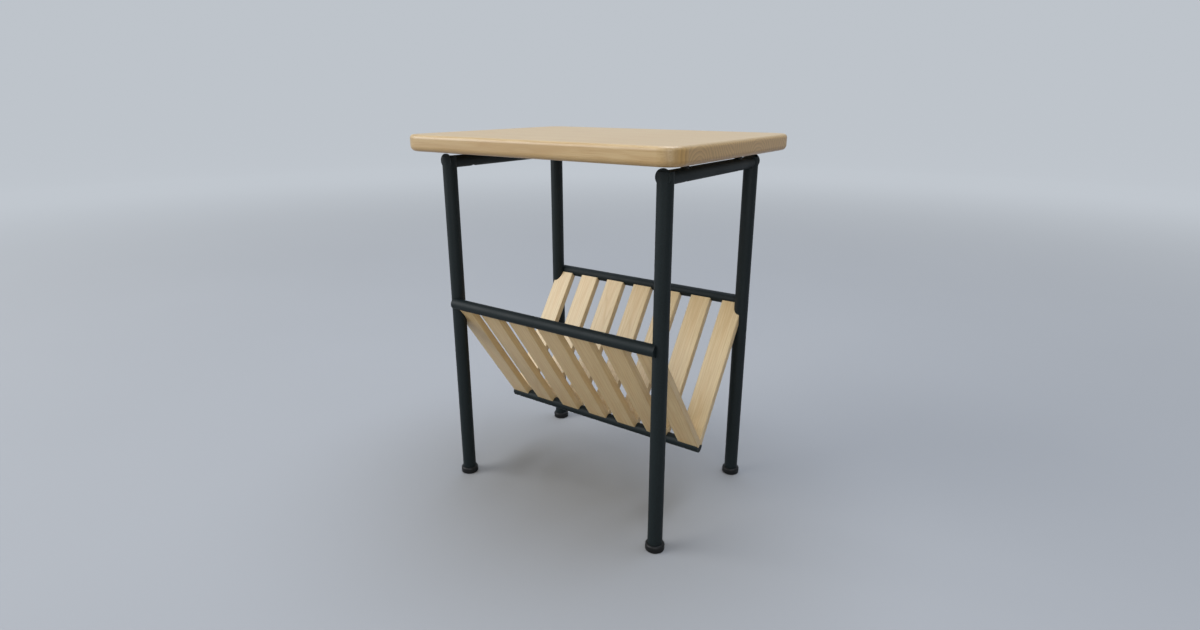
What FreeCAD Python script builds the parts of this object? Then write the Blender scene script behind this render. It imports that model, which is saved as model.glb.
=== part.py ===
"""Side table with a slatted V rack for magazines under its top, in millimetres.

The origin is on the floor under the middle of the table: +Z is up, X runs along the long side and the front
looks towards -Y.
"""
import math
import os

import FreeCAD
import Part

# Table top
table_height = 527.0
top_length = 425.0
top_depth = 332.0
top_thickness = 22.0
top_corner_radius = 25.0
top_upper_edge_radius = 5.0
top_lower_edge_radius = 7.0

# Legs and feet
leg_diameter = 20.0
leg_wall = 1.5
leg_spacing_x = 346.5
leg_spacing_y = 239.0
leg_top_drop = 1.0
foot_diameter = 26.0
foot_height = 10.0
foot_upper_edge_radius = 3.0
foot_lower_edge_radius = 1.5
foot_spigot_length = 20.0
foot_spigot_chamfer = 1.0

# Side rails, which lie in open notches of the leg tops; a wider disc closes each end behind a lip of the leg
side_rail_diameter = 17.0
side_rail_wall = 1.5
side_rail_disc_diameter = 20.0
side_rail_disc_thickness = 2.0
side_rail_lip = 3.5
top_gap = 7.5

# Front and back rack rails, coped over the outer side of the legs
rack_rail_diameter = 16.0
rack_rail_wall = 1.5
rack_rail_height = 284.5
rack_rail_bite = 1.3
rack_rail_setback = 0.75

# Bottom bar of the rack
bar_diameter = 16.0
bar_height = 97.5
bar_end_cover = 1.0

# Slats
slat_count = 7
slat_width = 33.0
slat_thickness = 10.5
slat_edge_radius = 1.5
slat_past_leg_axis = 1.7
slat_inset = 1.4
slat_foot = 4.0
slat_head_drop = 6.3

# Closing discs of the rack rails
end_disc_thickness = 3.0

# Fixings of the top
top_screw_diameter = 6.0
top_screw_spacing = 150.0
top_screw_head_diameter = 10.0
top_screw_head_height = 3.5
top_screw_socket_width = 4.0
top_screw_socket_depth = 2.0
top_screw_seat_height = 4.0
insert_diameter = 9.0
insert_length = 15.0
washer_diameter = 11.0
spacer_diameter = 10.0

# Fixings of the slats
stud_diameter = 4.0
stud_length = 16.0
slat_screw_diameter = 3.5
slat_screw_bite = 25.0
slat_screw_tip = 4.0
slat_screw_head_diameter = 7.0
slat_screw_head_height = 2.5
slat_screw_shift = 7.0

# Clearances
weld_gap = 0.05
press_gap = 0.05
seat_gap = 0.05
mitre_gap = 0.3
leg_notch_gap = 0.5
hole_gap = 0.3
bore_end_gap = 1.0

# Heights and half spacings worked out from the sizes above
leg_radius = leg_diameter / 2
leg_bore_radius = leg_radius - leg_wall
side_rail_radius = side_rail_diameter / 2
side_rail_bore_radius = side_rail_radius - side_rail_wall
rack_rail_radius = rack_rail_diameter / 2
bar_radius = bar_diameter / 2
leg_x = leg_spacing_x / 2
leg_y = leg_spacing_y / 2
top_underside = table_height - top_thickness
side_rail_z = top_underside - top_gap - side_rail_radius
side_rail_disc_radius = side_rail_disc_diameter / 2
side_rail_disc_z = side_rail_z - side_rail_radius + side_rail_disc_radius
side_rail_disc_face = leg_y + leg_radius - side_rail_lip
side_rail_end = side_rail_disc_face - side_rail_disc_thickness - weld_gap
leg_top = side_rail_z + side_rail_radius - leg_top_drop
rack_rail_y = leg_y + leg_radius - rack_rail_bite
rack_rail_end = leg_x - rack_rail_setback

# Slat row: it spans the leg axes, and each slat leans from the bottom bar out to its rail
slat_span = leg_spacing_x + 2 * slat_past_leg_axis
slat_pitch = (slat_span - slat_width) / (slat_count - 1)
slat_centres = [(i - (slat_count - 1) / 2) * slat_pitch for i in range(slat_count)]
slat_rise = rack_rail_height - bar_height
slat_run = math.hypot(rack_rail_y, slat_rise)
slat_lean = math.degrees(math.atan2(rack_rail_y, slat_rise))
bar_end = slat_span / 2 - bar_end_cover

UP = FreeCAD.Vector(0, 0, 1)
ALONG_X = FreeCAD.Vector(1, 0, 0)
ALONG_Y = FreeCAD.Vector(0, 1, 0)
CORNERS = {
    "front_left": (-1, -1),
    "front_right": (1, -1),
    "back_left": (-1, 1),
    "back_right": (1, 1),
}
SIDES = {"left": -1, "right": 1}


def at(x, y, z):
    """Point or direction from three numbers."""
    return FreeCAD.Vector(x, y, z)


def rod(radius, start, end):
    """Round solid between two points."""
    axis = end - start
    return Part.makeCylinder(radius, axis.Length, start, axis)


def tube(radius, bore_radius, start, end):
    """Round hollow solid between two points, open at both ends."""
    return rod(radius, start, end).cut(rod(bore_radius, start, end))


def block(x0, x1, y0, y1, z0, z1):
    """Box between two corners."""
    return Part.makeBox(x1 - x0, y1 - y0, z1 - z0, at(x0, y0, z0))


def edges_along(shape, direction):
    """Straight edges of a shape that run along a direction."""
    found = []
    for edge in shape.Edges:
        span = edge.Vertexes[-1].Point - edge.Vertexes[0].Point
        if span.Length > 0 and span.cross(direction).Length < 1e-6 * span.Length:
            found.append(edge)
    return found


def edges_at_height(shape, z):
    """Edges of a shape that lie flat at one height."""
    return [e for e in shape.Edges if abs(e.BoundBox.ZMin - z) < 1e-6 and abs(e.BoundBox.ZMax - z) < 1e-6]


def half_turn(shape):
    """Copy of a shape turned half round about the vertical axis of the table."""
    copy = shape.copy()
    copy.rotate(at(0, 0, 0), UP, 180)
    return copy


def save(name, *shapes):
    """Write the solids of one piece, or of one group of like pieces, as a named node."""
    solids = [solid for shape in shapes for solid in shape.Solids]
    body = solids[0] if len(solids) == 1 else Part.makeCompound(solids)
    body.exportStep(f"parts/{name}.step")


def leg_axis_rod(sx, sy, radius):
    """Upright rod on a leg's axis, from the floor to the top's underside."""
    x, y = sx * leg_x, sy * leg_y
    return rod(radius, at(x, y, 0), at(x, y, top_underside))


def top_screw_places():
    """Plan positions of the screws that hold the top, two on each side rail."""
    return [(sx * leg_x, sy * top_screw_spacing / 2) for sx, sy in CORNERS.values()]


# Table top


def table_top():
    """Slab with rounded corners and edges, and blind bores for the inserts in its underside."""
    slab = block(-top_length / 2, top_length / 2, -top_depth / 2, top_depth / 2, top_underside, table_height)
    slab = slab.makeFillet(top_corner_radius, edges_along(slab, UP))
    slab = slab.makeFillet(top_upper_edge_radius, edges_at_height(slab, table_height))
    slab = slab.makeFillet(top_lower_edge_radius, edges_at_height(slab, top_underside))
    bore_top = top_underside + insert_length + bore_end_gap
    for x, y in top_screw_places():
        slab = slab.cut(rod(insert_diameter / 2 + press_gap, at(x, y, top_underside), at(x, y, bore_top)))
    return slab


def top_insert(x, y):
    """Threaded sleeve pressed into the top from below."""
    bore_radius = top_screw_diameter / 2 + press_gap
    return tube(insert_diameter / 2, bore_radius, at(x, y, top_underside),
                at(x, y, top_underside + insert_length))


def top_screw(x, y):
    """Socket-head screw: its head is inside the side rail and its end in the insert."""
    seat = side_rail_z + top_screw_seat_height
    head_foot = seat - top_screw_head_height
    shank_end = top_underside + insert_length - bore_end_gap
    shank = rod(top_screw_diameter / 2, at(x, y, head_foot), at(x, y, shank_end))
    head = rod(top_screw_head_diameter / 2, at(x, y, head_foot), at(x, y, seat))
    socket = rod(top_screw_socket_width / 2, at(x, y, head_foot),
                 at(x, y, head_foot + top_screw_socket_depth))
    return shank.fuse(head).removeSplitter().cut(socket)


def top_washer(x, y):
    """Saddle washer between a screw head and the inside of the side rail."""
    seat = side_rail_z + top_screw_seat_height
    crown = side_rail_z + side_rail_bore_radius
    blank = rod(washer_diameter / 2, at(x, y, seat), at(x, y, crown))
    hole = rod(top_screw_diameter / 2 + hole_gap, at(x, y, seat), at(x, y, crown))
    bore = rod(side_rail_bore_radius - seat_gap, at(x, y - washer_diameter, side_rail_z),
               at(x, y + washer_diameter, side_rail_z))
    return blank.common(bore).cut(hole)


def top_spacer(x, y):
    """Saddle spacer that stands on the side rail and carries the top."""
    blank = rod(spacer_diameter / 2, at(x, y, side_rail_z), at(x, y, top_underside))
    hole = rod(top_screw_diameter / 2 + hole_gap, at(x, y, side_rail_z), at(x, y, top_underside))
    rail = rod(side_rail_radius + seat_gap, at(x, y - spacer_diameter, side_rail_z),
               at(x, y + spacer_diameter, side_rail_z))
    return blank.cut(rail).cut(hole)


# Legs and feet


def leg(sx, sy):
    """Leg tube with a notch in its top for the side rail and a slot for the disc that closes the rail."""
    x, y = sx * leg_x, sy * leg_y
    body = tube(leg_radius, leg_bore_radius, at(x, y, foot_height), at(x, y, leg_top))
    saddle = rod(side_rail_radius + weld_gap, at(x, y - sy * leg_diameter, side_rail_z),
                 at(x, sy * side_rail_end, side_rail_z))
    slot = rod(side_rail_disc_radius + weld_gap, at(x, sy * side_rail_end, side_rail_disc_z),
               at(x, sy * (side_rail_disc_face + weld_gap), side_rail_disc_z))
    return body.cut(saddle).cut(slot)


def foot(sx, sy):
    """Foot glide: a round flange under the leg with a spigot inside the tube."""
    x, y = sx * leg_x, sy * leg_y
    flange = rod(foot_diameter / 2, at(x, y, 0), at(x, y, foot_height))
    flange = flange.makeFillet(foot_upper_edge_radius, edges_at_height(flange, foot_height))
    flange = flange.makeFillet(foot_lower_edge_radius, edges_at_height(flange, 0))
    spigot_top = foot_height + foot_spigot_length
    spigot = rod(leg_bore_radius - press_gap, at(x, y, foot_height), at(x, y, spigot_top))
    spigot = spigot.makeChamfer(foot_spigot_chamfer, edges_at_height(spigot, spigot_top))
    return flange.fuse(spigot)


# Side rails


def side_rail(sx):
    """Side rail tube with a screw hole in its crown and an access hole below each screw."""
    x = sx * leg_x
    body = tube(side_rail_radius, side_rail_bore_radius, at(x, -side_rail_end, side_rail_z),
                at(x, side_rail_end, side_rail_z))
    for screw_x, screw_y in top_screw_places():
        if screw_x != x:
            continue
        axis_point = at(x, screw_y, side_rail_z)
        crown_hole = rod(top_screw_diameter / 2 + hole_gap, axis_point, axis_point + UP * side_rail_diameter)
        access_hole = rod(washer_diameter / 2 + hole_gap, axis_point, axis_point - UP * side_rail_diameter)
        body = body.cut(crown_hole).cut(access_hole)
    return body


def side_rail_end_disc(sx, sy):
    """Disc wider than the side rail that closes one end of it, level with the rail at the foot."""
    x = sx * leg_x
    return rod(side_rail_disc_radius,
               at(x, sy * (side_rail_disc_face - side_rail_disc_thickness), side_rail_disc_z),
               at(x, sy * side_rail_disc_face, side_rail_disc_z))


# Rack rails and bottom bar


def coped_to_legs(shape, sy):
    """Cut a front or back rail piece to fit against the outer side of its two legs."""
    for sx in SIDES.values():
        shape = shape.cut(leg_axis_rod(sx, sy, leg_radius + weld_gap))
    return shape


def rack_rail(sy):
    """Front or back rail tube, coped over the legs."""
    y = sy * rack_rail_y
    body = tube(rack_rail_radius, rack_rail_radius - rack_rail_wall, at(-rack_rail_end, y, rack_rail_height),
                at(rack_rail_end, y, rack_rail_height))
    return coped_to_legs(body, sy)


def rack_rail_end_disc(sx, sy):
    """Disc that closes one end of a front or back rail, flush with it."""
    y = sy * rack_rail_y
    disc = rod(rack_rail_radius - rack_rail_wall - press_gap,
               at(sx * (rack_rail_end - end_disc_thickness), y, rack_rail_height),
               at(sx * rack_rail_end, y, rack_rail_height))
    return coped_to_legs(disc, sy)


def bottom_bar():
    """Solid round bar with a sunk hole below each slat, front and back."""
    body = rod(bar_radius, at(-bar_end, 0, bar_height), at(bar_end, 0, bar_height))
    holes = [slat_screw_hole(x) for x in slat_centres]
    for hole in holes:
        body = body.cut(hole).cut(half_turn(hole))
    return body


# Slats: built upright on the bottom bar's axis, then leaned out to the front rail


def leaned(shape):
    """Lean an upright slat, or a piece of one, out to the front rail and lift it to the bottom bar."""
    copy = shape.copy()
    copy.rotate(at(0, 0, 0), ALONG_X, slat_lean)
    copy.translate(at(0, 0, bar_height))
    return copy


def leg_beside(x):
    """Side of the leg that a slat runs into, or 0 where it runs clear of both."""
    for sx in SIDES.values():
        if abs(x - sx * leg_x) < slat_width / 2 + leg_radius + leg_notch_gap:
            return sx
    return 0


def stud_place(x):
    """Middle of the width that a slat has at its upper end, beside any leg notch."""
    sx = leg_beside(x)
    if sx == 0:
        return x
    notch_side = sx * (leg_x - leg_radius - leg_notch_gap)
    free_side = x - sx * slat_width / 2
    return (notch_side + free_side) / 2


def front_slat(x):
    """Slat coped on the front rail and the bottom bar, whose end an end slat covers, and mitred behind."""
    half_width, half_thickness = slat_width / 2, slat_thickness / 2
    board = block(x - half_width, x + half_width, slat_inset - half_thickness, slat_inset + half_thickness,
                  slat_foot, slat_run - slat_head_drop)
    board = board.makeFillet(slat_edge_radius, edges_along(board, UP))
    stud_x = stud_place(x)
    stud_bore_foot = slat_run - rack_rail_radius - stud_length - bore_end_gap
    stud_bore = rod(stud_diameter / 2 + press_gap, at(stud_x, slat_inset, stud_bore_foot),
                    at(stud_x, slat_inset, slat_run))
    screw_x = x + slat_screw_shift
    screw_bore_end = bar_radius + slat_screw_bite + bore_end_gap
    screw_bore = rod(slat_screw_diameter / 2 + press_gap, at(screw_x, slat_inset, 0),
                     at(screw_x, slat_inset, screw_bore_end))
    slat = leaned(board.cut(stud_bore).cut(screw_bore))
    bar_room_end = bar_end + seat_gap
    bar = rod(bar_radius + seat_gap, at(-bar_room_end, 0, bar_height), at(bar_room_end, 0, bar_height))
    reach = slat_width
    rail = rod(rack_rail_radius + seat_gap, at(x - reach, -rack_rail_y, rack_rail_height),
               at(x + reach, -rack_rail_y, rack_rail_height))
    behind = block(x - reach, x + reach, -mitre_gap / 2, rack_rail_y, bar_height, rack_rail_height)
    slat = slat.cut(bar).cut(rail).cut(behind)
    if leg_beside(x) != 0:
        slat = slat.cut(leg_axis_rod(leg_beside(x), -1, leg_radius + leg_notch_gap))
    return slat


def front_stud(x):
    """Stud on the front rail that enters a slat's upper end."""
    stud_x = stud_place(x)
    foot_z = slat_run - rack_rail_radius - stud_length
    stud = leaned(rod(stud_diameter / 2, at(stud_x, slat_inset, foot_z), at(stud_x, slat_inset, slat_run)))
    rail = rod(rack_rail_radius + weld_gap, at(-leg_x, -rack_rail_y, rack_rail_height),
               at(leg_x, -rack_rail_y, rack_rail_height))
    return stud.cut(rail)


def slat_screw_head_span():
    """Heights of a slat screw's head, lower face then seat, in an upright slat: flush in the bar."""
    rim = slat_inset + slat_screw_head_diameter / 2
    lower = -math.sqrt(bar_radius ** 2 - rim ** 2)
    return lower, lower + slat_screw_head_height


def slat_screw_hole(x):
    """Stepped hole through the bottom bar for a front slat's screw."""
    screw_x = x + slat_screw_shift
    seat = slat_screw_head_span()[1]
    shank = rod(slat_screw_diameter / 2 + hole_gap, at(screw_x, slat_inset, -bar_diameter),
                at(screw_x, slat_inset, bar_diameter))
    sink = rod(slat_screw_head_diameter / 2 + hole_gap, at(screw_x, slat_inset, -bar_diameter),
               at(screw_x, slat_inset, seat))
    return leaned(shank.fuse(sink))


def front_slat_screw(x):
    """Wood screw from the bottom bar into a front slat's lower end."""
    screw_x = x + slat_screw_shift
    lower, seat = slat_screw_head_span()
    radius = slat_screw_diameter / 2
    shank_end = bar_radius + slat_screw_bite - slat_screw_tip
    head = rod(slat_screw_head_diameter / 2, at(screw_x, slat_inset, lower), at(screw_x, slat_inset, seat))
    shank = rod(radius, at(screw_x, slat_inset, lower), at(screw_x, slat_inset, shank_end))
    tip = Part.makeCone(radius, 0, slat_screw_tip, at(screw_x, slat_inset, shank_end), UP)
    return leaned(head.fuse(shank).fuse(tip).removeSplitter())


def build():
    """Make every piece and write it as its own node."""
    os.makedirs("parts", exist_ok=True)
    save("table_top", table_top())
    places = top_screw_places()
    save("top_inserts", *[top_insert(x, y) for x, y in places])
    save("top_screws", *[top_screw(x, y) for x, y in places])
    save("top_saddle_washers", *[top_washer(x, y) for x, y in places])
    save("top_spacers", *[top_spacer(x, y) for x, y in places])
    for name, (sx, sy) in CORNERS.items():
        save(f"{name}_leg", leg(sx, sy))
        save(f"{name}_foot", foot(sx, sy))
    for name, sx in SIDES.items():
        save(f"{name}_side_rail", side_rail(sx))
    save("side_rail_end_discs", *[side_rail_end_disc(sx, sy) for sx, sy in CORNERS.values()])
    save("front_rack_rail", rack_rail(-1))
    save("back_rack_rail", rack_rail(1))
    save("rack_rail_end_discs", *[rack_rail_end_disc(sx, sy) for sx, sy in CORNERS.values()])
    save("rack_bottom_bar", bottom_bar())
    slats = [front_slat(x) for x in slat_centres]
    studs = [front_stud(x) for x in slat_centres]
    screws = [front_slat_screw(x) for x in slat_centres]
    for number in range(1, slat_count + 1):
        save(f"front_slat_{number}", slats[number - 1])
        save(f"back_slat_{number}", half_turn(slats[-number]))
    save("front_slat_studs", *studs)
    save("back_slat_studs", *[half_turn(stud) for stud in studs])
    save("front_slat_screws", *screws)
    save("back_slat_screws", *[half_turn(screw) for screw in screws])


build()
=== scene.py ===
"""Looks of a side table with a slatted magazine rack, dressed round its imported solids.

Every length is in metres unless its name ends in _mm. +Z is up, X runs along the top's long side and the
front of the table looks towards -Y.
"""
import logging
import math
from dataclasses import dataclass
from enum import Enum

import bpy
from mathutils import Matrix, Vector

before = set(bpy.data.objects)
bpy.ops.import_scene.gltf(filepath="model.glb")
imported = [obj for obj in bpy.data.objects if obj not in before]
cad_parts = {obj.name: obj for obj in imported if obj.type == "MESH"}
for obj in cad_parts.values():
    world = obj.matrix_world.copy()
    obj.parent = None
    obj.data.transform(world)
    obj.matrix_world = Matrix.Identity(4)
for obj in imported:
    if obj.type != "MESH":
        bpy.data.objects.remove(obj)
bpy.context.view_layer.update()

log = logging.getLogger("magazine_table")

MM = 0.001
PHOTO_WIDTH_PX = 1200
# Blender's ring wave turns through 20 radians for each unit of radius at scale 1
WAVE_RADIANS_PER_UNIT = 20.0
# Noise lies about this value
NOISE_MIDDLE = 0.5
# Octaves of finer noise in small crisp marks and in broad soft ones
FINE_OCTAVES = 3.0
BROAD_OCTAVES = 2.0
# Sockets of a Mix node that mixes colours
MIX_FACTOR = 0
MIX_A = 6
MIX_B = 7
MIX_RESULT = 2

Colour = tuple[float, float, float, float]
Range = tuple[float, float]


def linear(hex_colour: str) -> Colour:
    """Turn an sRGB hex colour into linear light.

    Args:
        hex_colour: Six hex digits after a hash sign.

    Returns:
        Red, green, blue and an alpha of 1.
    """
    channels = []
    for start in (1, 3, 5):
        value = int(hex_colour[start:start + 2], 16) / 255
        # The numbers are those of the sRGB standard's curve
        channels.append(value / 12.92 if value <= 0.04045 else ((value + 0.055) / 1.055) ** 2.4)
    return (*channels, 1.0)


def add_node(tree: bpy.types.NodeTree, kind: str, settings: dict[str, str] | None = None,
             values: dict[str | int, object] | None = None,
             links: dict[str | int, bpy.types.NodeSocket] | None = None) -> bpy.types.Node:
    """Add one node to a tree.

    Args:
        tree: Tree that takes the node.
        kind: Blender's type name of the node.
        settings: Properties of the node, by name.
        values: Values of sockets that stay unlinked, by name or number.
        links: Output sockets that feed the node, by input name or number.

    Returns:
        The new node.
    """
    node = tree.nodes.new(kind)
    for name, value in (settings or {}).items():
        setattr(node, name, value)
    for name, value in (values or {}).items():
        node.inputs[name].default_value = value
    for name, output in (links or {}).items():
        tree.links.new(output, node.inputs[name])
    return node


def set_ramp(ramp: bpy.types.ShaderNodeValToRGB, stops: list[tuple[float, Colour]]) -> None:
    """Give a colour ramp its stops.

    Args:
        ramp: Ramp node, fresh with its two stops.
        stops: Places from 0 to 1 with their colours, lowest first.
    """
    elements = ramp.color_ramp.elements
    while len(elements) < len(stops):
        elements.new(1.0)
    for element, (place, colour) in zip(elements, stops):
        element.position = place
        element.color = colour


def grey(level: float) -> Colour:
    """Grey of one linear level."""
    return (level, level, level, 1.0)


def new_material(name: str) -> tuple[bpy.types.Material, bpy.types.NodeTree, bpy.types.Node]:
    """Start a material that has only a Principled shader and its output.

    Args:
        name: Name of the material.

    Returns:
        The material, its tree and its shader.
    """
    material = bpy.data.materials.new(name)
    material.use_nodes = True
    tree = material.node_tree
    tree.nodes.clear()
    shader = add_node(tree, "ShaderNodeBsdfPrincipled")
    add_node(tree, "ShaderNodeOutputMaterial", links={"Surface": shader.outputs["BSDF"]})
    return material, tree, shader


def dress(node: str, material: bpy.types.Material) -> None:
    """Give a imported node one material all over.

    Args:
        node: Name of the node.
        material: Material that every slot of the node takes.
    """
    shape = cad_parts[node]
    for slot in shape.material_slots:
        slot.material = material
    log.info("%s wears %s", node, material.name)


class GrainWay(Enum):
    """Way that a board's grain runs through the table."""

    ALONG_TOP = "along the top's long side"
    UP_FRONT_SLAT = "up a front slat"
    UP_BACK_SLAT = "up a back slat"

    def axes(self, lean: float) -> Matrix:
        """Turn from a board's own axes, grain along X, to the table's.

        Args:
            lean: Angle of the slats from the vertical, in radians.

        Returns:
            Rotation matrix.
        """
        if self is GrainWay.ALONG_TOP:
            return Matrix.Identity(3)
        side = -1 if self is GrainWay.UP_FRONT_SLAT else 1
        grain = Vector((0, side * math.sin(lean), math.cos(lean)))
        across = Vector((1, 0, 0))
        return Matrix((grain, across, grain.cross(across))).transposed()


@dataclass(frozen=True)
class Board:
    """Place of one board in the table and in the log that it was sawn from.

    Attributes:
        way: Way that the grain runs.
        origin: Point of the table that the board's axes start from.
        pith_mm: Place of the log's centre line in the board's own axes, across and through it.
        runout_deg: Angle between the log's centre line and the board's length.
        stave_mm: Width of the staves that the board is glued from; a slat is one stave.
        lean: Angle of the slats from the vertical, in radians.
    """

    way: GrainWay
    origin: tuple[float, float, float]
    pith_mm: tuple[float, float]
    runout_deg: float
    stave_mm: float
    lean: float = 0.0


# Fine sanding under a sprayed matt film: warm streaked wood with a soft pale sheen at low angles
@dataclass(frozen=True)
class LacqueredOak:
    """Pale oak, planed, sanded and sprayed with a clear matt lacquer.

    Attributes:
        early_wood: Colour of the open wood at the start of a ring.
        late_wood: Colour of the dense wood that fills most of a ring.
        warm_wood: Colour of the warmer streaks.
        end_grain: Colour of cut ends, which take up more lacquer.
        end_ring: Colour of the open wood's rings on cut ends.
        ring_mm: Width of a year's ring.
        ring_stops: Shares of early wood across a ring, each after its place from the ring's start.
        wobble_mm: Distance by which rings stray from true circles.
        drift_mm: Distance across the grain over which that stray changes.
        drift_length_mm: Distance with the grain over which that stray changes.
        stave_spread: Widths of a stave by which neighbours lie apart in the log, across and through it.
        side_runout: Share of a board's runout by which its log also turns sideways.
        fibre_mm: Width of a fibre bundle; real pores of 0.3 mm are too fine to show, so bundles are drawn.
        fibre_length_mm: Length of a fibre bundle.
        fibre_range: Noise over which a fibre bundle turns dark.
        fibre_shade: Share of early wood's colour in the darkest bundle.
        fibre_relief_mm: Height of the fibres under the film.
        relief_share: Share of that height that the film leaves.
        streak_mm: Width of a streak of warmer wood.
        streak_length_mm: Length of a streak of warmer wood.
        streak_range: Noise over which a streak turns warm.
        octave_share: Share of each finer octave in the wood's noise.
        cut_range: Cosines between a face's normal and the grain over which the face becomes a cut end.
        end_ring_from: Place in a ring at which it starts to darken on a cut end.
        end_ring_shade: Share of the end ring's colour in the darkest line of a cut end.
        roughness: Roughness of the wood's own surface.
        roughness_spread: Amounts by which roughness rises between the fibres and falls on them.
        ior: Refractive index of the wood's surface.
        film: Cover of the lacquer film.
        film_roughness: Roughness of the lacquer film.
    """

    early_wood: str = "#aa8857"
    late_wood: str = "#c5ab7d"
    warm_wood: str = "#bf9e6b"
    end_grain: str = "#c8a466"
    end_ring: str = "#8c6836"
    ring_mm: float = 3.4
    ring_stops: tuple[tuple[float, float], ...] = (
        (0.0, 0.55),
        (0.22, 0.12),
        (0.6, 0.0),
        (0.94, 0.18),
        (1.0, 0.55),
    )
    wobble_mm: float = 9.0
    drift_mm: float = 34.0
    drift_length_mm: float = 260.0
    stave_spread: tuple[float, float] = (2.2, 1.6)
    side_runout: float = 0.6
    fibre_mm: float = 1.4
    fibre_length_mm: float = 42.0
    fibre_range: Range = (0.42, 0.72)
    fibre_shade: float = 0.7
    fibre_relief_mm: float = 0.15
    relief_share: float = 0.25
    streak_mm: float = 17.0
    streak_length_mm: float = 190.0
    streak_range: Range = (0.45, 0.7)
    octave_share: float = 0.6
    cut_range: Range = (0.55, 1.0)
    end_ring_from: float = 0.25
    end_ring_shade: float = 0.5
    roughness: float = 0.45
    roughness_spread: tuple[float, float] = (0.08, 0.06)
    ior: float = 1.5
    film: float = 0.55
    film_roughness: float = 0.34

    def material(self, name: str, board: Board) -> bpy.types.Material:
        """Make the material of one board.

        Args:
            name: Name of the piece that wears it.
            board: Place of the board in the table and in its log.

        Returns:
            The material.
        """
        material, tree, shader = new_material(f"lacquered_oak_{name}")
        place = add_node(tree, "ShaderNodeTexCoord").outputs["Object"]
        axes = board.way.axes(board.lean)
        in_board = add_node(tree, "ShaderNodeMapping", {"vector_type": "TEXTURE"},
                            {"Location": board.origin, "Rotation": axes.to_euler(), "Scale": (MM, MM, MM)},
                            {"Vector": place}).outputs["Vector"]
        in_stave, chance = self._staves(tree, in_board, board.stave_mm)
        rings = self._rings(tree, in_stave, chance, board)
        fibres = self._stretched_noise(tree, in_board, self.fibre_length_mm, self.fibre_mm,
                                       FINE_OCTAVES).outputs["Fac"]
        streaks = self._stretched_noise(tree, in_stave, self.streak_length_mm, self.streak_mm,
                                        BROAD_OCTAVES).outputs["Fac"]
        figured = self._figure(tree, rings, fibres, streaks)
        colour = self._cut_ends(tree, figured, rings, axes.col[0])
        # The film is even, so gloss varies only a little where it sinks into the fibres
        rise, fall = self.roughness_spread
        gloss = add_node(tree, "ShaderNodeMapRange",
                         values={"To Min": self.roughness + rise, "To Max": self.roughness - fall},
                         links={"Value": fibres})
        relief = add_node(tree, "ShaderNodeBump",
                          values={"Strength": self.relief_share, "Distance": self.fibre_relief_mm * MM},
                          links={"Height": fibres})
        tree.links.new(colour, shader.inputs["Base Color"])
        tree.links.new(gloss.outputs["Result"], shader.inputs["Roughness"])
        tree.links.new(relief.outputs["Normal"], shader.inputs["Normal"])
        shader.inputs["IOR"].default_value = self.ior
        shader.inputs["Coat Weight"].default_value = self.film
        shader.inputs["Coat Roughness"].default_value = self.film_roughness
        return material

    def _staves(self, tree: bpy.types.NodeTree, in_board: bpy.types.NodeSocket,
                stave_mm: float) -> tuple[bpy.types.NodeSocket, bpy.types.NodeSocket]:
        """Part a board into staves side by side.

        Args:
            tree: Tree that takes the nodes.
            in_board: Place in the board's own axes, in millimetres.
            stave_mm: Width of a stave.

        Returns:
            Place from the middle of its stave, and a random colour for each stave.
        """
        across = add_node(tree, "ShaderNodeSeparateXYZ", links={"Vector": in_board}).outputs["Y"]
        shifted = add_node(tree, "ShaderNodeMath", {"operation": "ADD"}, {1: stave_mm / 2},
                           {0: across}).outputs["Value"]
        middle = add_node(tree, "ShaderNodeMath", {"operation": "SNAP"}, {1: stave_mm},
                          {0: shifted}).outputs["Value"]
        chance = add_node(tree, "ShaderNodeTexWhiteNoise", {"noise_dimensions": "1D"},
                          links={"W": middle}).outputs["Color"]
        to_middle = add_node(tree, "ShaderNodeCombineXYZ", links={"Y": middle}).outputs["Vector"]
        in_stave = add_node(tree, "ShaderNodeVectorMath", {"operation": "SUBTRACT"},
                            links={0: in_board, 1: to_middle}).outputs["Vector"]
        return in_stave, chance

    def _rings(self, tree: bpy.types.NodeTree, in_stave: bpy.types.NodeSocket, chance: bpy.types.NodeSocket,
               board: Board) -> bpy.types.NodeSocket:
        """Draw the year rings, which show as lines on the faces and as arcs on the ends.

        Args:
            tree: Tree that takes the nodes.
            in_stave: Place from the middle of its stave, in millimetres.
            chance: Random colour of the stave, which moves it about in its log.
            board: Place of the board in its log.

        Returns:
            Number that climbs from 0 to 1 across each ring.
        """
        runout = math.radians(board.runout_deg)
        turn = (0.0, runout, self.side_runout * runout)
        in_log = add_node(tree, "ShaderNodeMapping", {"vector_type": "TEXTURE"},
                          {"Location": (0.0, *board.pith_mm), "Rotation": turn},
                          {"Vector": in_stave}).outputs["Vector"]
        wander = self._stretched_noise(tree, in_stave, self.drift_length_mm, self.drift_mm, BROAD_OCTAVES)
        centred = add_node(tree, "ShaderNodeVectorMath", {"operation": "SUBTRACT"}, {1: (NOISE_MIDDLE,) * 3},
                           {0: wander.outputs["Color"]}).outputs["Vector"]
        across, through = (widths * board.stave_mm for widths in self.stave_spread)
        moved = add_node(tree, "ShaderNodeVectorMath", {"operation": "MULTIPLY_ADD"},
                         {1: (0.0, across, through)}, {0: chance, 2: in_log}).outputs["Vector"]
        strayed = add_node(tree, "ShaderNodeVectorMath", {"operation": "MULTIPLY_ADD"},
                           {1: (self.wobble_mm,) * 3}, {0: centred, 2: moved}).outputs["Vector"]
        wave_scale = 2 * math.pi / (WAVE_RADIANS_PER_UNIT * self.ring_mm)
        return add_node(tree, "ShaderNodeTexWave",
                        {"wave_type": "RINGS", "rings_direction": "X", "wave_profile": "SAW"},
                        {"Scale": wave_scale}, {"Vector": strayed}).outputs["Fac"]

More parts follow.
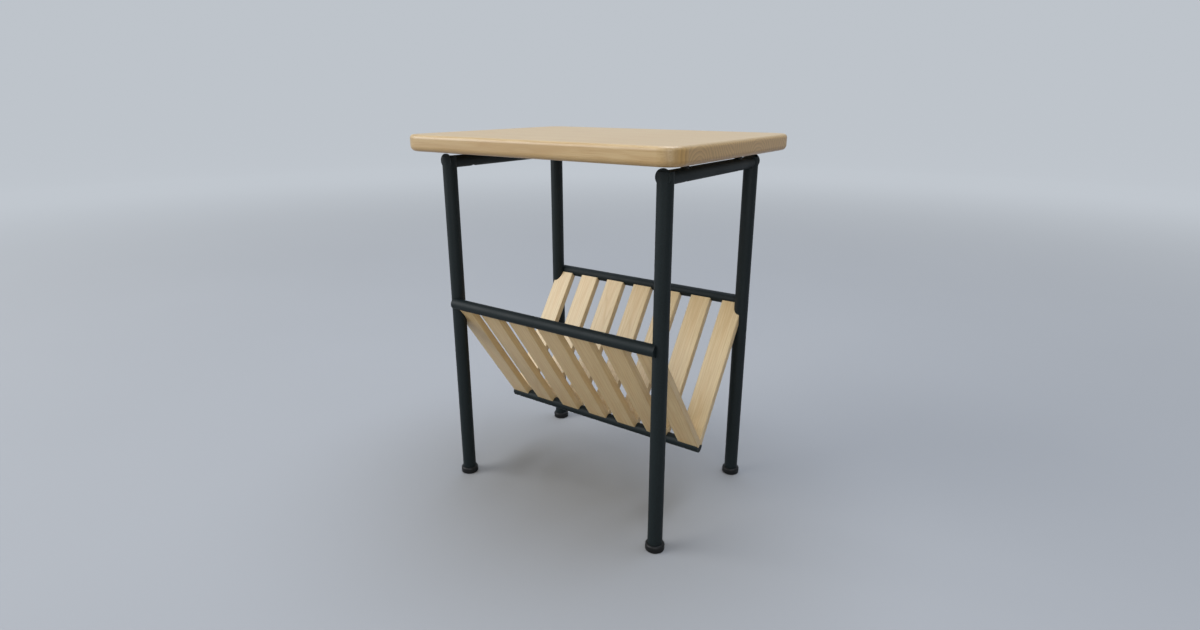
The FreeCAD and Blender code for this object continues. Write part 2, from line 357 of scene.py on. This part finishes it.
    def _stretched_noise(self, tree: bpy.types.NodeTree, in_wood: bpy.types.NodeSocket, length_mm: float,
                         width_mm: float, detail: float) -> bpy.types.Node:
        """Draw noise that is long with the grain and narrow across it.

        Args:
            tree: Tree that takes the nodes.
            in_wood: Place in the board or in its stave, in millimetres.
            length_mm: Size of a mark with the grain.
            width_mm: Size of a mark across the grain.
            detail: Octaves of finer noise.

        Returns:
            Noise node.
        """
        drawn_out = add_node(tree, "ShaderNodeMapping",
                             values={"Scale": (1 / length_mm, 1 / width_mm, 1 / width_mm)},
                             links={"Vector": in_wood}).outputs["Vector"]
        return add_node(tree, "ShaderNodeTexNoise",
                        values={"Scale": 1.0, "Detail": detail, "Roughness": self.octave_share},
                        links={"Vector": drawn_out})

    def _figure(self, tree: bpy.types.NodeTree, rings: bpy.types.NodeSocket, fibres: bpy.types.NodeSocket,
                streaks: bpy.types.NodeSocket) -> bpy.types.NodeSocket:
        """Mix the wood's colour from its rings, fibres and streaks.

        Args:
            tree: Tree that takes the nodes.
            rings: Number that climbs across each ring.
            fibres: Noise of the fibre bundles.
            streaks: Noise of the warmer streaks.

        Returns:
            Colour socket.
        """
        ring_tone = add_node(tree, "ShaderNodeValToRGB", links={"Fac": rings})
        set_ramp(ring_tone, [(place, grey(share)) for place, share in self.ring_stops])
        fibre_from, fibre_to = self.fibre_range
        fibre_tone = add_node(tree, "ShaderNodeMapRange",
                              values={"From Min": fibre_from, "From Max": fibre_to,
                                      "To Max": self.fibre_shade},
                              links={"Value": fibres})
        dark = add_node(tree, "ShaderNodeMath", {"operation": "MAXIMUM"},
                        links={0: ring_tone.outputs["Color"], 1: fibre_tone.outputs["Result"]})
        streak_from, streak_to = self.streak_range
        warm = add_node(tree, "ShaderNodeMapRange", values={"From Min": streak_from, "From Max": streak_to},
                        links={"Value": streaks})
        ground = add_node(tree, "ShaderNodeMix", {"data_type": "RGBA"},
                          {MIX_A: linear(self.late_wood), MIX_B: linear(self.warm_wood)},
                          {MIX_FACTOR: warm.outputs["Result"]}).outputs[MIX_RESULT]
        return add_node(tree, "ShaderNodeMix", {"data_type": "RGBA"}, {MIX_B: linear(self.early_wood)},
                        {MIX_FACTOR: dark.outputs["Value"], MIX_A: ground}).outputs[MIX_RESULT]

    def _cut_ends(self, tree: bpy.types.NodeTree, figured: bpy.types.NodeSocket, rings: bpy.types.NodeSocket,
                  grain: Vector) -> bpy.types.NodeSocket:
        """Give faces cut across the grain the colour of end grain.

        Args:
            tree: Tree that takes the nodes.
            figured: Colour of the faces that run with the grain.
            rings: Number that climbs across each ring.
            grain: Direction of the grain in the table.

        Returns:
            Colour socket.
        """
        facing = add_node(tree, "ShaderNodeNewGeometry").outputs["Normal"]
        along = add_node(tree, "ShaderNodeVectorMath", {"operation": "DOT_PRODUCT"}, {1: tuple(grain)},
                         {0: facing}).outputs["Value"]
        cosine = add_node(tree, "ShaderNodeMath", {"operation": "ABSOLUTE"}, links={0: along})
        cut_from, cut_to = self.cut_range
        cut = add_node(tree, "ShaderNodeMapRange", {"interpolation_type": "SMOOTHSTEP"},
                       {"From Min": cut_from, "From Max": cut_to}, {"Value": cosine.outputs["Value"]})
        end_tone = add_node(tree, "ShaderNodeMapRange",
                            values={"From Min": self.end_ring_from, "To Max": self.end_ring_shade},
                            links={"Value": rings})
        end = add_node(tree, "ShaderNodeMix", {"data_type": "RGBA"},
                       {MIX_A: linear(self.end_grain), MIX_B: linear(self.end_ring)},
                       {MIX_FACTOR: end_tone.outputs["Result"]}).outputs[MIX_RESULT]
        return add_node(tree, "ShaderNodeMix", {"data_type": "RGBA"},
                        links={MIX_FACTOR: cut.outputs["Result"], MIX_A: figured,
                               MIX_B: end}).outputs[MIX_RESULT]


# A wide log with broad rings gives the top its open figure
TOP_OAK = LacqueredOak(ring_mm=5.2)
# Slats of the top's oak, with a calm figure, whose colours are painted paler than the top's: painted light
# that makes up for the shade in the rack's V and under the top
SLAT_OAK_PAINTED_LIGHT = LacqueredOak(early_wood="#c1a16a", late_wood="#e1cda2", warm_wood="#dbbe8d", end_grain="#bfa476")


@dataclass(frozen=True)
class SpeckledFinish:
    """Finish of one colour that small grains make slightly uneven.

    Attributes:
        name: Material and how its surface was made.
        colour: Colour of most of the surface.
        light_colour: Colour of the grains that catch the light.
        grain_mm: Size of a grain.
        relief_mm: Height of the grains.
        roughness: Roughness of the surface.
        roughness_spread: Amount by which roughness varies over the surface.
        metallic: 1 for bare or plated metal, 0 for paint and plastic.
        ior: Refractive index of paint or plastic.
        grain_range: Noise over which a grain turns light.
        octave_share: Share of each finer octave in the grains' noise.
        relief_share: Share of the grains' height that shows.
        patch_grains: Width of a patch of even gloss, in grains.
        patch_range: Noise over which gloss changes from patch to patch.
    """

    name: str
    colour: str
    light_colour: str
    grain_mm: float
    relief_mm: float
    roughness: float
    roughness_spread: float
    metallic: float = 0.0
    ior: float = 1.5
    grain_range: Range = (0.4, 0.75)
    octave_share: float = 0.55
    relief_share: float = 0.5
    patch_grains: float = 40.0
    patch_range: Range = (0.3, 0.7)

    def material(self) -> bpy.types.Material:
        """Make the material.

        Returns:
            The material.
        """
        material, tree, shader = new_material(self.name)
        place = add_node(tree, "ShaderNodeTexCoord").outputs["Object"]
        grains = add_node(tree, "ShaderNodeTexNoise",
                          values={"Scale": 1 / (self.grain_mm * MM), "Detail": FINE_OCTAVES,
                                  "Roughness": self.octave_share},
                          links={"Vector": place}).outputs["Fac"]
        patches = add_node(tree, "ShaderNodeTexNoise",
                           values={"Scale": 1 / (self.patch_grains * self.grain_mm * MM),
                                   "Detail": BROAD_OCTAVES},
                           links={"Vector": place}).outputs["Fac"]
        light_from, light_to = self.grain_range
        light = add_node(tree, "ShaderNodeMapRange", values={"From Min": light_from, "From Max": light_to},
                         links={"Value": grains})
        colour = add_node(tree, "ShaderNodeMix", {"data_type": "RGBA"},
                          {MIX_A: linear(self.colour), MIX_B: linear(self.light_colour)},
                          {MIX_FACTOR: light.outputs["Result"]})
        patch_from, patch_to = self.patch_range
        gloss = add_node(tree, "ShaderNodeMapRange",
                         values={"From Min": patch_from, "From Max": patch_to,
                                 "To Min": self.roughness - self.roughness_spread,
                                 "To Max": self.roughness + self.roughness_spread},
                         links={"Value": patches})
        relief = add_node(tree, "ShaderNodeBump",
                          values={"Strength": self.relief_share, "Distance": self.relief_mm * MM},
                          links={"Height": grains})
        tree.links.new(colour.outputs[MIX_RESULT], shader.inputs["Base Color"])
        tree.links.new(gloss.outputs["Result"], shader.inputs["Roughness"])
        tree.links.new(relief.outputs["Normal"], shader.inputs["Normal"])
        shader.inputs["Metallic"].default_value = self.metallic
        if self.metallic == 0.0:
            shader.inputs["IOR"].default_value = self.ior
        return material


# Baked powder flows into a soft orange peel: broad dull highlights on a green-black coat.
# Its real peel of about 1 mm is drawn at 1.6 mm to show.
# The index lies under the usual 1.5, matched to the weak gloss of the tubes.
POWDER_COAT = SpeckledFinish("powder_coated_steel", colour="#0c1719", light_colour="#152124", grain_mm=1.6,
                             relief_mm=0.05, roughness=0.58, roughness_spread=0.06, ior=1.35)
# Moulded polythene copies the spark-eroded mould: an even black satin.
# Its fine spark marks are drawn at 1.2 mm to show, and its index is matched to the dull feet.
FOOT_PLASTIC = SpeckledFinish("moulded_polythene", colour="#040505", light_colour="#090a0a", grain_mm=1.2,
                              relief_mm=0.03, roughness=0.5, roughness_spread=0.05, ior=1.4)
# Zinc plate is bright with a faint crystal bloom, drawn at 0.8 mm to show
ZINC_PLATE = SpeckledFinish("zinc_plated_steel", colour="#a9adb0", light_colour="#bcc0c3", grain_mm=0.8,
                            relief_mm=0.01, roughness=0.32, roughness_spread=0.05, metallic=1.0)
# Black passivated zinc is dull and dark, with the same bloom
BLACK_ZINC = SpeckledFinish("black_zinc_plated_steel", colour="#2b2c2d", light_colour="#363738", grain_mm=0.8,
                            relief_mm=0.01, roughness=0.45, roughness_spread=0.05, metallic=1.0)


@dataclass
class TableTop:
    """Wooden top and what fixes it to the side rails.

    Attributes:
        underside: Height of the top's underside.
        pith_mm: Place of the log's centre line, across the top and above its underside.
        runout_deg: Angle between the log's centre line and the top's length.
        stave_mm: Width of the staves that the top is glued from.
    """

    underside: float = 0.505
    pith_mm: tuple[float, float] = (62.0, 56.0)
    runout_deg: float = 1.2
    stave_mm: float = 56.0

    def dress(self) -> None:
        """Dress the board and its fixings."""
        board = Board(GrainWay.ALONG_TOP, (0.0, 0.0, self.underside), self.pith_mm, self.runout_deg,
                      self.stave_mm)
        dress("table_top", TOP_OAK.material("top", board))
        zinc = ZINC_PLATE.material()
        for node in ("top_inserts", "top_screws", "top_saddle_washers"):
            dress(node, zinc)


@dataclass
class TubeFrame:
    """Welded tube frame with its feet.

    Attributes:
        corners: Names of the four corners.
    """

    corners: tuple[str, ...] = ("front_left", "front_right", "back_left", "back_right")

    def dress(self) -> None:
        """Dress the tubes, their closing discs, the spacers and the feet."""
        coat = POWDER_COAT.material()
        plastic = FOOT_PLASTIC.material()
        tubes = [f"{corner}_leg" for corner in self.corners]
        tubes += ["left_side_rail", "right_side_rail", "side_rail_end_discs", "front_rack_rail",
                  "back_rack_rail", "rack_rail_end_discs", "rack_bottom_bar", "front_slat_studs",
                  "back_slat_studs"]
        for tube in tubes:
            dress(tube, coat)
        for corner in self.corners:
            dress(f"{corner}_foot", plastic)
        dress("top_spacers", plastic)


@dataclass
class MagazineRack:
    """Two rows of slats that lean out from the bottom bar to the rack rails.

    Attributes:
        slat_count: Slats in a row.
        slat_pitch: Distance from slat to slat.
        rail_out: Distance of a rack rail from the table's middle.
        rail_height: Height of the rack rails' axes.
        bar_height: Height of the bottom bar's axis.
        pith_distance_mm: Distance of each slat from the centre line of its log.
        log_turn: Angle in radians by which the next slat's log is turned, about the golden angle.
        runout_deg: Largest angle between a log's centre line and its slat.
        runout_pace: Turns of the runout for each turn of the log.
    """

    slat_count: int = 7
    slat_pitch: float = 0.0528
    rail_out: float = 0.1282
    rail_height: float = 0.2845
    bar_height: float = 0.0975
    pith_distance_mm: float = 70.0
    log_turn: float = 2.4
    runout_deg: float = 1.5
    runout_pace: float = 3.0

    def dress(self) -> None:
        """Dress each slat as a board of its own, and the slat screws."""
        rows = {"front": GrainWay.UP_FRONT_SLAT, "back": GrainWay.UP_BACK_SLAT}
        for row, (side, way) in enumerate(rows.items()):
            for number in range(1, self.slat_count + 1):
                node = f"{side}_slat_{number}"
                # Each slat wears oak painted paler than the top's, as painted light against the shade in the
                # rack
                dress(node, SLAT_OAK_PAINTED_LIGHT.material(node, self._board(row, number, way)))
        black = BLACK_ZINC.material()
        for side in rows:
            dress(f"{side}_slat_screws", black)

    def _board(self, row: int, number: int, way: GrainWay) -> Board:
        """Take a slat from its own place in the log, so that no two share a figure.

        Args:
            row: 0 for the front row and 1 for the back row.
            number: Number of the slat in its row, from 1 at the left.
            way: Way that the row's grain runs.

        Returns:
            The slat as a board.
        """
        x = (number - (self.slat_count + 1) / 2) * self.slat_pitch
        lean = math.atan2(self.rail_out, self.rail_height - self.bar_height)
        turn = self.log_turn * (number + row * self.slat_count)
        pith_mm = (self.pith_distance_mm * math.cos(turn), self.pith_distance_mm * math.sin(turn))
        runout_deg = self.runout_deg * math.cos(self.runout_pace * turn)
        return Board(way, (x, 0.0, self.bar_height), pith_mm, runout_deg, self.slat_pitch / MM, lean)


@dataclass(frozen=True)
class SoftBox:
    """Round soft box that lights the table.

    Attributes:
        name: Name of the lamp.
        place: Where it hangs.
        size: Width of its face.
        watts: Power of the lamp.
        colour: Colour of its light.
    """

    name: str
    place: tuple[float, float, float]
    size: float
    watts: float
    colour: str = "#ffffff"

    def hang(self, aim: Vector) -> None:
        """Hang the lamp and turn it to a point.

        Args:
            aim: Point that it looks at.
        """
        lamp = bpy.data.lights.new(f"soft_box_{self.name}", "AREA")
        lamp.shape = "DISK"
        lamp.size = self.size
        lamp.energy = self.watts
        lamp.color = linear(self.colour)[:3]
        holder = bpy.data.objects.new(lamp.name, lamp)
        holder.location = self.place
        way = aim - Vector(self.place)
        holder.rotation_euler = way.to_track_quat("-Z", "Y").to_euler()
        bpy.context.scene.collection.objects.link(holder)


@dataclass
class Studio:
    """Floor, backdrop, light and camera.

    Attributes:
        floor_radius: Radius of the floor's flat part.
        sweep_radius: Radius of the sweep that turns the floor up into the backdrop.
        sweep_steps: Flat steps that make up the sweep.
        sides: Flat sides that make up the round of floor and backdrop.
        backdrop_height: Height of the backdrop.
        roller_patches: Uneven patches that the paint roller leaves in each metre.
        roller_spread: Share by which the paint is darker or lighter there.
        paint_roughness: Roughness of the dull paint.
        paint_specular: Strength of the paint's gloss.
        floor_colour: Colour in which the lit floor is seen.
        bounce_colour: Colour of the light that floor and backdrop throw back on the table.
        backdrop_colour: Even colour in which the backdrop is seen.
        backdrop_from: Distance from the table at which the floor starts to take that colour.
        backdrop_to: Distance at which it has that colour alone.
        soft_boxes: Broad key at the front left, weaker fill at the front right and one overhead.
        aim: Point that the soft boxes look at.
        room_colour: Colour of the even light that fills the room.
        room_light: Strength of that light.
        room_seen: Strength with which the room shows above the backdrop's edge.
        camera_place: Where the camera stands.
        camera_azimuth_deg: Turn of the camera to the right of the front.
        camera_drop_deg: Angle by which the camera looks down.
        focal_px: Focal length in pixels of the photograph.
        sensor_mm: Width of the camera's sensor.
        nearest_seen: Distance from the camera at which things start to show.
    """

    floor_radius: float = 5.0
    sweep_radius: float = 1.6
    sweep_steps: int = 16
    sides: int = 96
    backdrop_height: float = 5.0
    roller_patches: float = 1.5
    roller_spread: float = 0.03
    paint_roughness: float = 0.9
    paint_specular: float = 0.2
    floor_colour: str = "#a4a6a8"
    bounce_colour: str = "#8c8173"
    backdrop_colour: str = "#bdc3ca"
    backdrop_from: float = 0.5
    backdrop_to: float = 4.5
    soft_boxes: tuple[SoftBox, ...] = (
        SoftBox("key", place=(-3.15, -3.0, 2.4), size=3.6, watts=148.0),
        SoftBox("fill", place=(2.65, -3.78, 1.8), size=2.6, watts=56.0),
        SoftBox("overhead", place=(0.0, 0.6, 4.2), size=3.6, watts=152.0, colour="#e6efff"),
    )
    aim: tuple[float, float, float] = (0.0, 0.0, 0.3)
    room_colour: str = "#e4e8ee"
    room_light: float = 0.45
    room_seen: float = 0.7
    camera_place: tuple[float, float, float] = (0.5514, -0.7863, 0.5757)
    camera_azimuth_deg: float = 35.04
    camera_drop_deg: float = 17.958
    focal_px: float = 673.94
    sensor_mm: float = 36.0
    nearest_seen: float = 0.01

    def build(self) -> None:
        """Build the floor, light the table and place the camera."""
        self._floor()
        self._lights()
        self._world()
        self._camera()

    def _profile(self) -> list[tuple[float, float]]:
        """Draw the profile of floor, sweep and backdrop from the edge of the flat floor outwards.

        Returns:
            Distances from the table's middle with their heights.
        """
        profile = [(self.floor_radius, 0.0)]
        for step in range(1, self.sweep_steps + 1):
            angle = math.pi / 2 * step / self.sweep_steps
            profile.append((self.floor_radius + self.sweep_radius * math.sin(angle),
                            self.sweep_radius * (1 - math.cos(angle))))
        profile.append((self.floor_radius + self.sweep_radius, self.backdrop_height))
        return profile

    def _floor(self) -> None:
        """Spin the profile into one seamless dish and paint it."""
        profile = self._profile()
        points = [(0.0, 0.0, 0.0)]
        faces = []
        for radius, height in profile:
            for side in range(self.sides):
                turn = 2 * math.pi * side / self.sides
                points.append((radius * math.cos(turn), radius * math.sin(turn), height))
        for side in range(self.sides):
            after = (side + 1) % self.sides
            faces.append((0, 1 + side, 1 + after))
            for ring in range(len(profile) - 1):
                low = 1 + ring * self.sides
                high = low + self.sides
                faces.append((low + side, high + side, high + after, low + after))
        mesh = bpy.data.meshes.new("studio_floor")
        mesh.from_pydata(points, [], faces)
        mesh.shade_smooth()
        floor = bpy.data.objects.new("studio_floor", mesh)
        bpy.context.scene.collection.objects.link(floor)
        mesh.materials.append(self._paint())

    def _paint(self) -> bpy.types.Material:
        """Make the backdrop's rolled matt paint, dull and faintly uneven.

        Returns:
            The material.
        """
        material, tree, shader = new_material("painted_backdrop")
        place = add_node(tree, "ShaderNodeTexCoord").outputs["Object"]
        rolled = add_node(tree, "ShaderNodeTexNoise",
                          values={"Scale": self.roller_patches, "Detail": BROAD_OCTAVES},
                          links={"Vector": place}).outputs["Fac"]
        tone = add_node(tree, "ShaderNodeMapRange",
                        values={"To Min": 1 - self.roller_spread, "To Max": 1 + self.roller_spread},
                        links={"Value": rolled})
        ray = add_node(tree, "ShaderNodeLightPath").outputs
        seen = add_node(tree, "ShaderNodeMath", {"operation": "MAXIMUM"},
                        links={0: ray["Is Camera Ray"], 1: ray["Is Glossy Ray"]}).outputs["Value"]
        paint = add_node(tree, "ShaderNodeMix", {"data_type": "RGBA"},
                         {MIX_A: linear(self.bounce_colour), MIX_B: linear(self.floor_colour)},
                         {MIX_FACTOR: seen}).outputs[MIX_RESULT]
        rolled_on = add_node(tree, "ShaderNodeVectorMath", {"operation": "SCALE"},
                             links={0: paint, "Scale": tone.outputs["Result"]})
        # Where the backdrop's own even colour takes over, the lit paint turns black
        away = self._away(tree, place, seen)
        colour = add_node(tree, "ShaderNodeMix", {"data_type": "RGBA"}, {MIX_B: grey(0.0)},
                          {MIX_FACTOR: away, MIX_A: rolled_on.outputs["Vector"]})
        tree.links.new(colour.outputs[MIX_RESULT], shader.inputs["Base Color"])
        tree.links.new(away, shader.inputs["Emission Strength"])
        shader.inputs["Emission Color"].default_value = linear(self.backdrop_colour)
        shader.inputs["Roughness"].default_value = self.paint_roughness
        shader.inputs["Specular IOR Level"].default_value = self.paint_specular
        return material

    def _away(self, tree: bpy.types.NodeTree, place: bpy.types.NodeSocket,
              seen: bpy.types.NodeSocket) -> bpy.types.NodeSocket:
        """Tell how far the backdrop has taken over from the lit floor, with no more light on the table.

        Args:
            tree: Tree of the backdrop's material.
            place: Place in the room.
            seen: 1 for rays that come from the camera or off a gloss, and 0 for others.

        Returns:
            0 at the table and for rays that light it, climbing to 1 far off.
        """
        distance = add_node(tree, "ShaderNodeVectorMath", {"operation": "LENGTH"},
                            links={0: place}).outputs["Value"]
        rise = add_node(tree, "ShaderNodeMapRange", {"interpolation_type": "SMOOTHSTEP"},
                        {"From Min": self.backdrop_from, "From Max": self.backdrop_to}, {"Value": distance})
        return add_node(tree, "ShaderNodeMath", {"operation": "MULTIPLY"},
                        links={0: seen, 1: rise.outputs["Result"]}).outputs["Value"]

    def _lights(self) -> None:
        """Hang the soft boxes, turned to the middle of the table."""
        for box in self.soft_boxes:
            box.hang(Vector(self.aim))

    def _world(self) -> None:
        """Fill the room with even light, and show it as pale as the backdrop above the backdrop's edge."""
        world = bpy.data.worlds.new("studio_room")
        world.use_nodes = True
        tree = world.node_tree
        tree.nodes.clear()
        ray = add_node(tree, "ShaderNodeLightPath").outputs
        strength = add_node(tree, "ShaderNodeMapRange",
                            values={"To Min": self.room_light, "To Max": self.room_seen},
                            links={"Value": ray["Is Camera Ray"]}).outputs["Result"]
        room = add_node(tree, "ShaderNodeBackground", values={"Color": linear(self.room_colour)},
                        links={"Strength": strength})
        add_node(tree, "ShaderNodeOutputWorld", links={"Surface": room.outputs["Background"]})
        bpy.context.scene.world = world

    def _camera(self) -> None:
        """Stand the camera where the photograph was seen from."""
        camera = bpy.data.cameras.new("photo_view")
        camera.sensor_fit = "HORIZONTAL"
        camera.sensor_width = self.sensor_mm
        camera.lens = self.sensor_mm * self.focal_px / PHOTO_WIDTH_PX
        camera.clip_start = self.nearest_seen
        holder = bpy.data.objects.new("photo_view", camera)
        holder.location = self.camera_place
        holder.rotation_euler = (math.radians(90 - self.camera_drop_deg), 0.0,
                                 math.radians(self.camera_azimuth_deg))
        bpy.context.scene.collection.objects.link(holder)
        bpy.context.scene.camera = holder


def main() -> None:
    """Dress the table's sub-assemblies in order and set up the studio."""
    logging.basicConfig(level=logging.INFO, format="%(name)s: %(message)s")
    bpy.context.scene.view_settings.view_transform = "Standard"
    for assembly in (TableTop(), TubeFrame(), MagazineRack()):
        assembly.dress()
    Studio().build()


if __name__ == "__main__":
    main()
